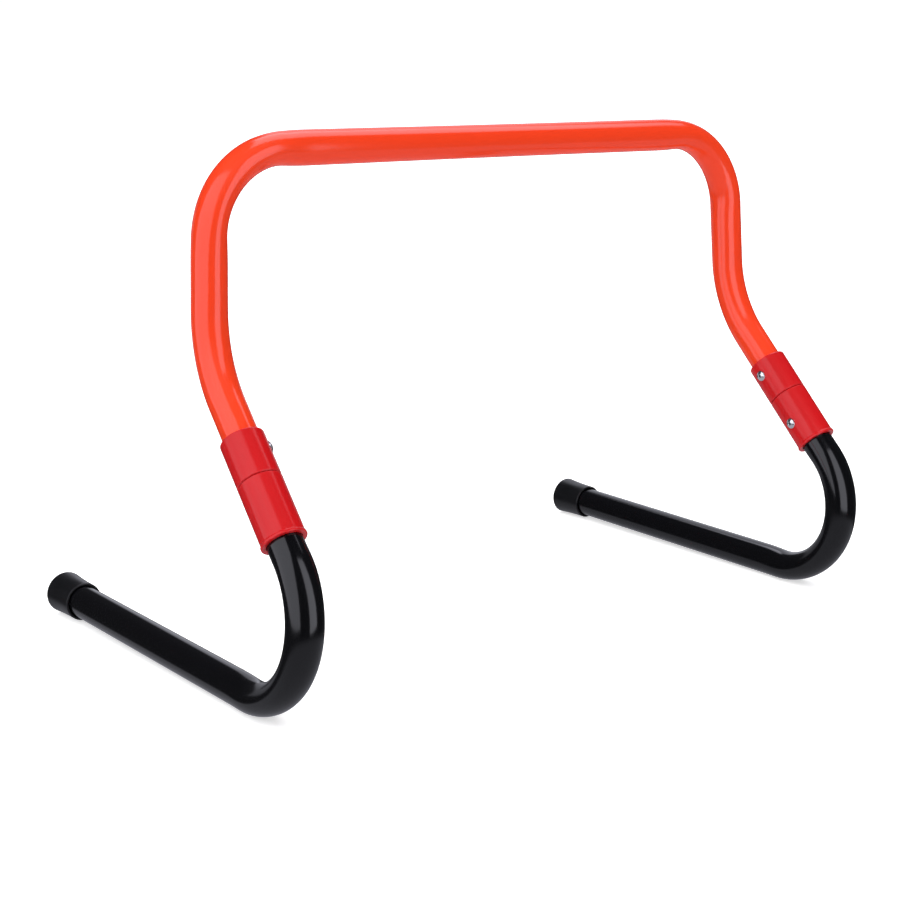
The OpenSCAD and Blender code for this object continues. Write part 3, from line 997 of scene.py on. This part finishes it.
class HURDLE_OT_sockets(bpy.types.Operator):
    """Moulds both halves of the two red sockets"""
    bl_idname = "hurdle.sockets"
    bl_label = "Mould the Sockets"
    bl_options = {"REGISTER"}

    def execute(self, context):
        scene = context.scene
        fittings = scene.hurdle_fittings
        finishes = scene.hurdle_finishes
        material = moulded_plastic("socket_plastic", finishes.socket, finishes.socket_gloss)
        outer = socket_radius(scene)
        # Reach of the paler edge mark: partly wear, partly a painted highlight on the seam's and rims' corners.
        edge_mark_reach = 1.3 * MM
        edge_mark_depth = 1.2 * MM
        upside_down = Matrix.Diagonal((1, 1, -1, 1))
        halves = (
            ("upper", fittings.upper_length, UPPER_FLOOR, 1.1 * MM, 0.0, 0.0, Matrix()),
            ("lower", fittings.lower_length, LOWER_FLOOR, 0.7 * MM, fittings.bead,
             0.7 * MM, upside_down))
        for side in SIDES:
            place = on_side(side, right_socket_place())
            for half, length, floor, rim_round, bead, slope, flip in halves:
                outline = socket_outline(scene, length, floor, rim_round, bead, slope)

                def edge(p, length=length):
                    """How near a point is to the seam's or the rim's outer corner."""
                    radius = math.hypot(p.x, p.y)
                    ends = min(abs(p.z - SEAM_HALF), abs(length - p.z))
                    near = 1 - min(1.0, ends / edge_mark_reach)
                    return near if radius > outer - edge_mark_depth else 0.0

                turned_piece(side + "_socket_" + half, outline, place @ flip, material,
                             body_of(side, half),
                             [side + "_" + half + "_socket"], around=144, edge=edge)
        return {"FINISHED"}


class HURDLE_OT_caps(bpy.types.Operator):
    """Fits the two flared rubber caps on the feet"""
    bl_idname = "hurdle.caps"
    bl_label = "Fit the Caps"
    bl_options = {"REGISTER"}

    def execute(self, context):
        scene = context.scene
        finishes = scene.hurdle_finishes
        length = scene.hurdle_fittings.cap_length
        outline = cap_outline(scene)
        material = cap_rubber("cap_rubber", finishes.cap, finishes.cap_gloss)
        # Reach of the paler edge mark: partly wear, partly a painted highlight on the base's and rim's corners.
        edge_mark_reach = 1.4 * MM
        outside = 13.2 * MM

        def edge(p):
            """How near a point is to the base's or the rim's outer corner."""
            radius = math.hypot(p.x, p.y)
            near = 1 - min(1.0, min(p.z, length - p.z) / edge_mark_reach)
            return near if radius > outside else 0.0

        for side in SIDES:
            turned_piece(side + "_cap", outline, on_side(side, right_cap_place()), material,
                         side + "_foot", [side + "_foot_cap"], edge=edge)
        return {"FINISHED"}


class HURDLE_OT_rivets(bpy.types.Operator):
    """Sets the four blind rivets, with the pins left in them"""
    bl_idname = "hurdle.rivets"
    bl_label = "Set the Rivets"
    bl_options = {"REGISTER"}

    def execute(self, context):
        scene = context.scene
        fittings = scene.hurdle_fittings
        finishes = scene.hurdle_finishes
        metal = bright_metal("rivet_aluminium", finishes.rivet, 0.2)
        # Near-black steel on the pins paints the shade inside each rivet's bore.
        steel = bright_metal("rivet_pin_steel", finishes.pin, 0.5)
        surface = socket_radius(scene)
        rivet = rivet_outline(scene)
        pin = mandrel_outline(scene)

        def seated(p):
            """Draws the skirt of the head in to the socket's round wall."""
            if math.hypot(p.x, p.y) < 2.05 * MM or p.z > surface + 0.1 * MM:
                return p
            if p.z < surface - 1.0 * MM:
                return p
            wall = math.sqrt((surface + 0.02 * MM) ** 2 - p.y ** 2)
            return Vector((p.x, p.y, wall))

        def broken(p):
            """Roughens the pin's broken end."""
            if p.z < surface + 0.7 * MM:
                return p
            rough = noise.noise(Vector((p.x, p.y, 0)) * 2600) * 0.12 * MM
            return Vector((p.x, p.y, p.z + rough))

        for side in SIDES:
            turn = fittings.rivet_turn if side == "left" else 0.0
            for half, height, angle in (("upper", fittings.upper_rivet, turn),
                                        ("lower", -fittings.lower_rivet, 0.0)):
                place = on_side(side, right_socket_place() @ rivet_place(height, angle))
                body = body_of(side, half)
                node = side + "_" + half + "_rivet"
                turned_piece(node + "_body", rivet, place, metal, body,
                             [node], around=64, shape=seated)
                turned_piece(node + "_pin", pin, place, steel, body,
                             [node + "_mandrel"], around=40, shape=broken)
        return {"FINISHED"}


class HURDLE_OT_swivels(bpy.types.Operator):
    """Finishes the bolts, nuts, washers and springs inside the sockets"""
    bl_idname = "hurdle.swivels"
    bl_label = "Finish the Swivels"
    bl_options = {"REGISTER"}

    def execute(self, context):
        finishes = context.scene.hurdle_finishes
        steel = bright_metal("plated_steel", finishes.steel, 0.3, laid=False)
        nylon = washer_nylon("nylon", finishes.nylon)
        finish_of = {"pivot_bolt": steel, "thrust_washer": steel, "disc_springs": steel,
                     "lock_nut": steel, "friction_washer": nylon}
        for side in SIDES:
            for part, material in finish_of.items():
                mesh = frame["nodes"][side + "_" + part].data
                mesh.materials.clear()
                mesh.materials.append(material)
        return {"FINISHED"}


class HURDLE_OT_studio(bpy.types.Operator):
    """Lays the floor, hangs the lights and sets the camera"""
    bl_idname = "hurdle.studio"
    bl_label = "Set Up the Studio"
    bl_options = {"REGISTER"}

    def execute(self, context):
        studio = context.scene.hurdle_studio
        lay_floor(studio)
        hang_lights(studio)
        surround(context.scene)
        set_camera(context.scene, studio)
        return {"FINISHED"}


# Broad lights, in degrees: spread, tilt from overhead, and bearing of the tilt.
SUNS = {"key": (100, 18, -60), "fill": (120, 68, -30)}

# Tall softboxes, in metres: where the foot of each starts and ends, so that it shines to the
# left of the way from start to end, the heights of its bottom and top, and its brightness.
SOFTBOXES = (
    ("front_box", (-0.19, -0.86), (0.42, -0.88), -0.13, 1.2, 2.05),
    ("side_box", (-0.95, 0.50), (-0.66, -0.57), -0.02, 1.4, 1.55),
)

# The bright parts of the room, in degrees: bearing of the middle, from +X towards +Y, width,
# bottom, top, softness of the edge and brightness.
PANELS = (
    (25, 90, 44, 120, 6, 2.1),
    (46, 32, -2, 50, 6, 0.8),
    (85, 50, -12, 8, 5, 0.3),
)

# The room's own light in degrees of rise and brightness: pale below, dark above.
FLOOR_RISE, ROOM_RISE = -25.0, -19.0
BELOW, ROOM = 0.40, 0.05

LAMP_TINT = (0.97, 0.98, 1.08)
ROOM_TINT = (0.97, 0.98, 1.10, 1.0)
BODY_LIGHT = (0.2, 0.2, 0.2, 1.0)
BACKDROP = (1.06, 1.06, 1.06, 1.0)
FLOOR_GLOW = 0.6
FLOOR_RADIUS = 9.0
CAMERA_PLACE = (-0.8755, -1.0875, 0.4460)
CAMERA_TURN = (77.125, -0.578, -38.19)


def lay_floor(studio):
    """A wide, plain, matte floor under the hurdle."""
    mesh = bpy.data.meshes.new("floor")
    disc = bmesh.new()
    bmesh.ops.create_circle(disc, cap_ends=True, radius=FLOOR_RADIUS, segments=96)
    disc.to_mesh(mesh)
    disc.free()
    finish = Finish("floor_paper", laid=False, Specular_IOR_Level=0.0,
                    Emission_Strength=FLOOR_GLOW, Roughness=0.95)
    finish.feed("Emission Color", finish.node("ShaderNodeLightPath").outputs["Is Camera Ray"])
    finish.feed("Base Color", finish.toned(studio.floor, 0.4, 0.01))
    mesh.materials.append(finish.material)
    floor = bpy.data.objects.new("floor", mesh)
    bpy.context.scene.collection.objects.link(floor)
    floor.visible_glossy = False


def hang_lights(studio):
    """Two very broad soft lights for the body of the colours, and two tall softboxes."""
    collection = bpy.context.scene.collection
    for name, (spread, tilt, swing) in SUNS.items():
        lamp = bpy.data.lights.new(name, "SUN")
        lamp.energy = getattr(studio, name)
        lamp.angle = math.radians(spread)
        light = bpy.data.objects.new(name, lamp)
        light.rotation_euler = (math.radians(tilt), 0, math.radians(swing))
        light.visible_glossy = False
        collection.objects.link(light)
    for name, start, end, bottom, top, brightness in SOFTBOXES:
        along = Vector((*end, 0)) - Vector((*start, 0))
        lamp = bpy.data.lights.new(name, "AREA")
        lamp.shape = "RECTANGLE"
        lamp.size = along.length
        lamp.size_y = top - bottom
        lamp.energy = math.pi * lamp.size * lamp.size_y * brightness
        lamp.color = LAMP_TINT
        light = bpy.data.objects.new(name, lamp)
        across = along.normalized()
        away = across.cross(Vector((0, 0, 1)))
        turn = Matrix((across, Vector((0, 0, 1)), away)).transposed().to_4x4()
        middle = (Vector((*start, bottom)) + Vector((*end, top))) / 2
        light.matrix_world = Matrix.Translation(middle) @ turn
        light.visible_camera = False
        light.visible_diffuse = False
        collection.objects.link(light)


def surround(scene):
    """A white backdrop for the camera, and panels of light in a dark room for the rest."""
    world = bpy.data.worlds.new("studio")
    scene.world = world
    world.use_nodes = True
    world.node_tree.nodes.clear()
    wiring = Wiring(world.node_tree)
    split = wiring.split(wiring.node("ShaderNodeTexCoord").outputs["Generated"])
    degrees = 180 / math.pi
    bearing = wiring.times(wiring.maths("ARCTAN2", split[1], split[0]), degrees)
    rise = wiring.times(wiring.maths("ARCSINE", split[2]), degrees)
    total = wiring.ranged(rise, FLOOR_RISE, ROOM_RISE, BELOW, ROOM, smooth=True)
    for centre, width, bottom, top, softness, brightness in PANELS:
        box = wiring.effect("Softbox", Bearing=bearing, Rise=rise, Centre=centre, Width=width,
                            Bottom=bottom, Top=top, Edge=softness, Brightness=brightness)
        total = wiring.plus(total, box["Light"])
    path = wiring.node("ShaderNodeLightPath").outputs
    total = wiring.mixed(path["Is Diffuse Ray"], total, BODY_LIGHT)
    total = wiring.mixed(path["Is Camera Ray"], total, BACKDROP)
    room = wiring.node("ShaderNodeBackground", {
        "Color": ROOM_TINT, "Strength": total})
    wiring.node("ShaderNodeOutputWorld", {"Surface": room.outputs[0]})
    scene.view_settings.view_transform = "Standard"
    scene.view_settings.look = "None"


def set_camera(scene, studio):
    """The camera, at the front left and a little above the bar."""
    lens = bpy.data.cameras.new("camera")
    lens.lens = studio.lens
    lens.sensor_width = 36.0
    camera = bpy.data.objects.new("camera", lens)
    camera.location = CAMERA_PLACE
    camera.rotation_euler = [math.radians(angle) for angle in CAMERA_TURN]
    scene.collection.objects.link(camera)
    scene.camera = camera


OPERATORS = (HURDLE_OT_hoop, HURDLE_OT_feet, HURDLE_OT_sockets, HURDLE_OT_caps,
             HURDLE_OT_rivets, HURDLE_OT_swivels, HURDLE_OT_studio)
SETTINGS = {"hurdle_tubes": HurdleTubes, "hurdle_fittings": HurdleFittings,
            "hurdle_finishes": HurdleFinishes, "hurdle_studio": HurdleStudio}


class HURDLE_PT_panel(bpy.types.Panel):
    """The hurdle's sizes, finishes and steps in the sidebar"""
    bl_label = "Agility Hurdle"
    bl_idname = "HURDLE_PT_panel"
    bl_space_type = "VIEW_3D"
    bl_region_type = "UI"
    bl_category = "Hurdle"

    def draw(self, context):
        layout = self.layout
        for name, group in SETTINGS.items():
            box = layout.box()
            box.label(text=group.__doc__)
            for prop in group.__annotations__:
                box.prop(getattr(context.scene, name), prop)
        for step in OPERATORS:
            layout.operator(step.bl_idname)


def register():
    for group in SETTINGS.values():
        bpy.utils.register_class(group)
    for step in OPERATORS:
        bpy.utils.register_class(step)
    bpy.utils.register_class(HURDLE_PT_panel)
    for name, group in SETTINGS.items():
        setattr(bpy.types.Scene, name, PointerProperty(type=group))


def unregister():
    for name in SETTINGS:
        delattr(bpy.types.Scene, name)
    bpy.utils.unregister_class(HURDLE_PT_panel)
    for step in reversed(OPERATORS):
        bpy.utils.unregister_class(step)
    for group in reversed(list(SETTINGS.values())):
        bpy.utils.unregister_class(group)


def main():
    """Builds every piece in order."""
    register()
    bpy.ops.hurdle.hoop()
    bpy.ops.hurdle.feet()
    bpy.ops.hurdle.sockets()
    bpy.ops.hurdle.caps()
    bpy.ops.hurdle.rivets()
    bpy.ops.hurdle.swivels()
    bpy.ops.hurdle.studio()


if __name__ == "__main__":
    main()
